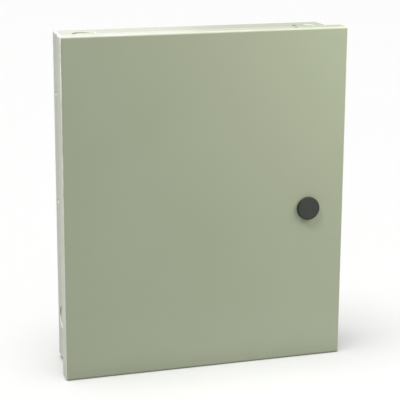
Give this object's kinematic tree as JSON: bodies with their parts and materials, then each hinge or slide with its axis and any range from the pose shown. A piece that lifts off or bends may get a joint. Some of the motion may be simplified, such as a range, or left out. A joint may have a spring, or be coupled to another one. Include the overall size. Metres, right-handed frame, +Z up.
{
  "type": "wall-mount sheet-steel equipment cabinet",
  "caption": "Shallow upright wall cabinet of folded painted steel with a left-hinged wrap-over door, a round quarter-turn latch, knockouts and an inner mounting plate.",
  "frame": {"origin": "middle of the overall box at its lowest level, the bottom edge of the door", "axes": "+X to the right seen from the front, +Y from the door to the wall, +Z up"},
  "size_m": [0.314, 0.082, 0.37],
  "materials": {
    "cabinet_paint": "satin powder coat, grey-green beige",
    "galvanised": "galvanised sheet",
    "zinc_plate": "bright zinc plate",
    "steel": "plain steel",
    "brass": "plain brass",
    "black_plastic": "matte moulded plastic",
    "rubber": "soft black rubber"
  },
  "bodies": {
    "cabinet": {"cabinet_body": "cabinet_paint", "mounting_plate": "galvanised", "plate_studs": "steel", "plate_washers": "zinc_plate", "plate_nuts": "zinc_plate", "earth_stud": "brass", "earth_washer": "brass", "earth_nut": "brass", "door_bumpers": "rubber", "body_hinge_barrel_upper": "cabinet_paint", "body_hinge_barrel_lower": "cabinet_paint", "hinge_pin_upper": "steel", "hinge_pin_lower": "steel", "hinge_washer_upper": "brass", "hinge_washer_lower": "brass"},
    "door": {"door_panel": "cabinet_paint", "door_hinge_barrel_upper": "cabinet_paint", "door_hinge_barrel_lower": "cabinet_paint", "latch_bush": "black_plastic", "latch_washer": "zinc_plate", "latch_nut": "zinc_plate", "door_earth_stud": "brass", "door_earth_washer": "brass", "door_earth_nut": "brass"},
    "latch": {"latch_knob": "black_plastic", "latch_cam": "zinc_plate", "cam_washer": "zinc_plate", "cam_screw": "zinc_plate"}
  },
  "joints": [
    {"name": "door_swing", "type": "hinge", "parent": "cabinet", "child": "door", "pos_m": [-0.1524, -0.0195, 0.185], "axis": [0, 0, -1], "range_deg": [0, 120]},
    {"name": "latch_turn", "type": "hinge", "parent": "door", "child": "latch", "pos_m": [0.1154, -0.037, 0.172], "axis": [0, -1, 0], "range_deg": [0, 90]}
  ]
}
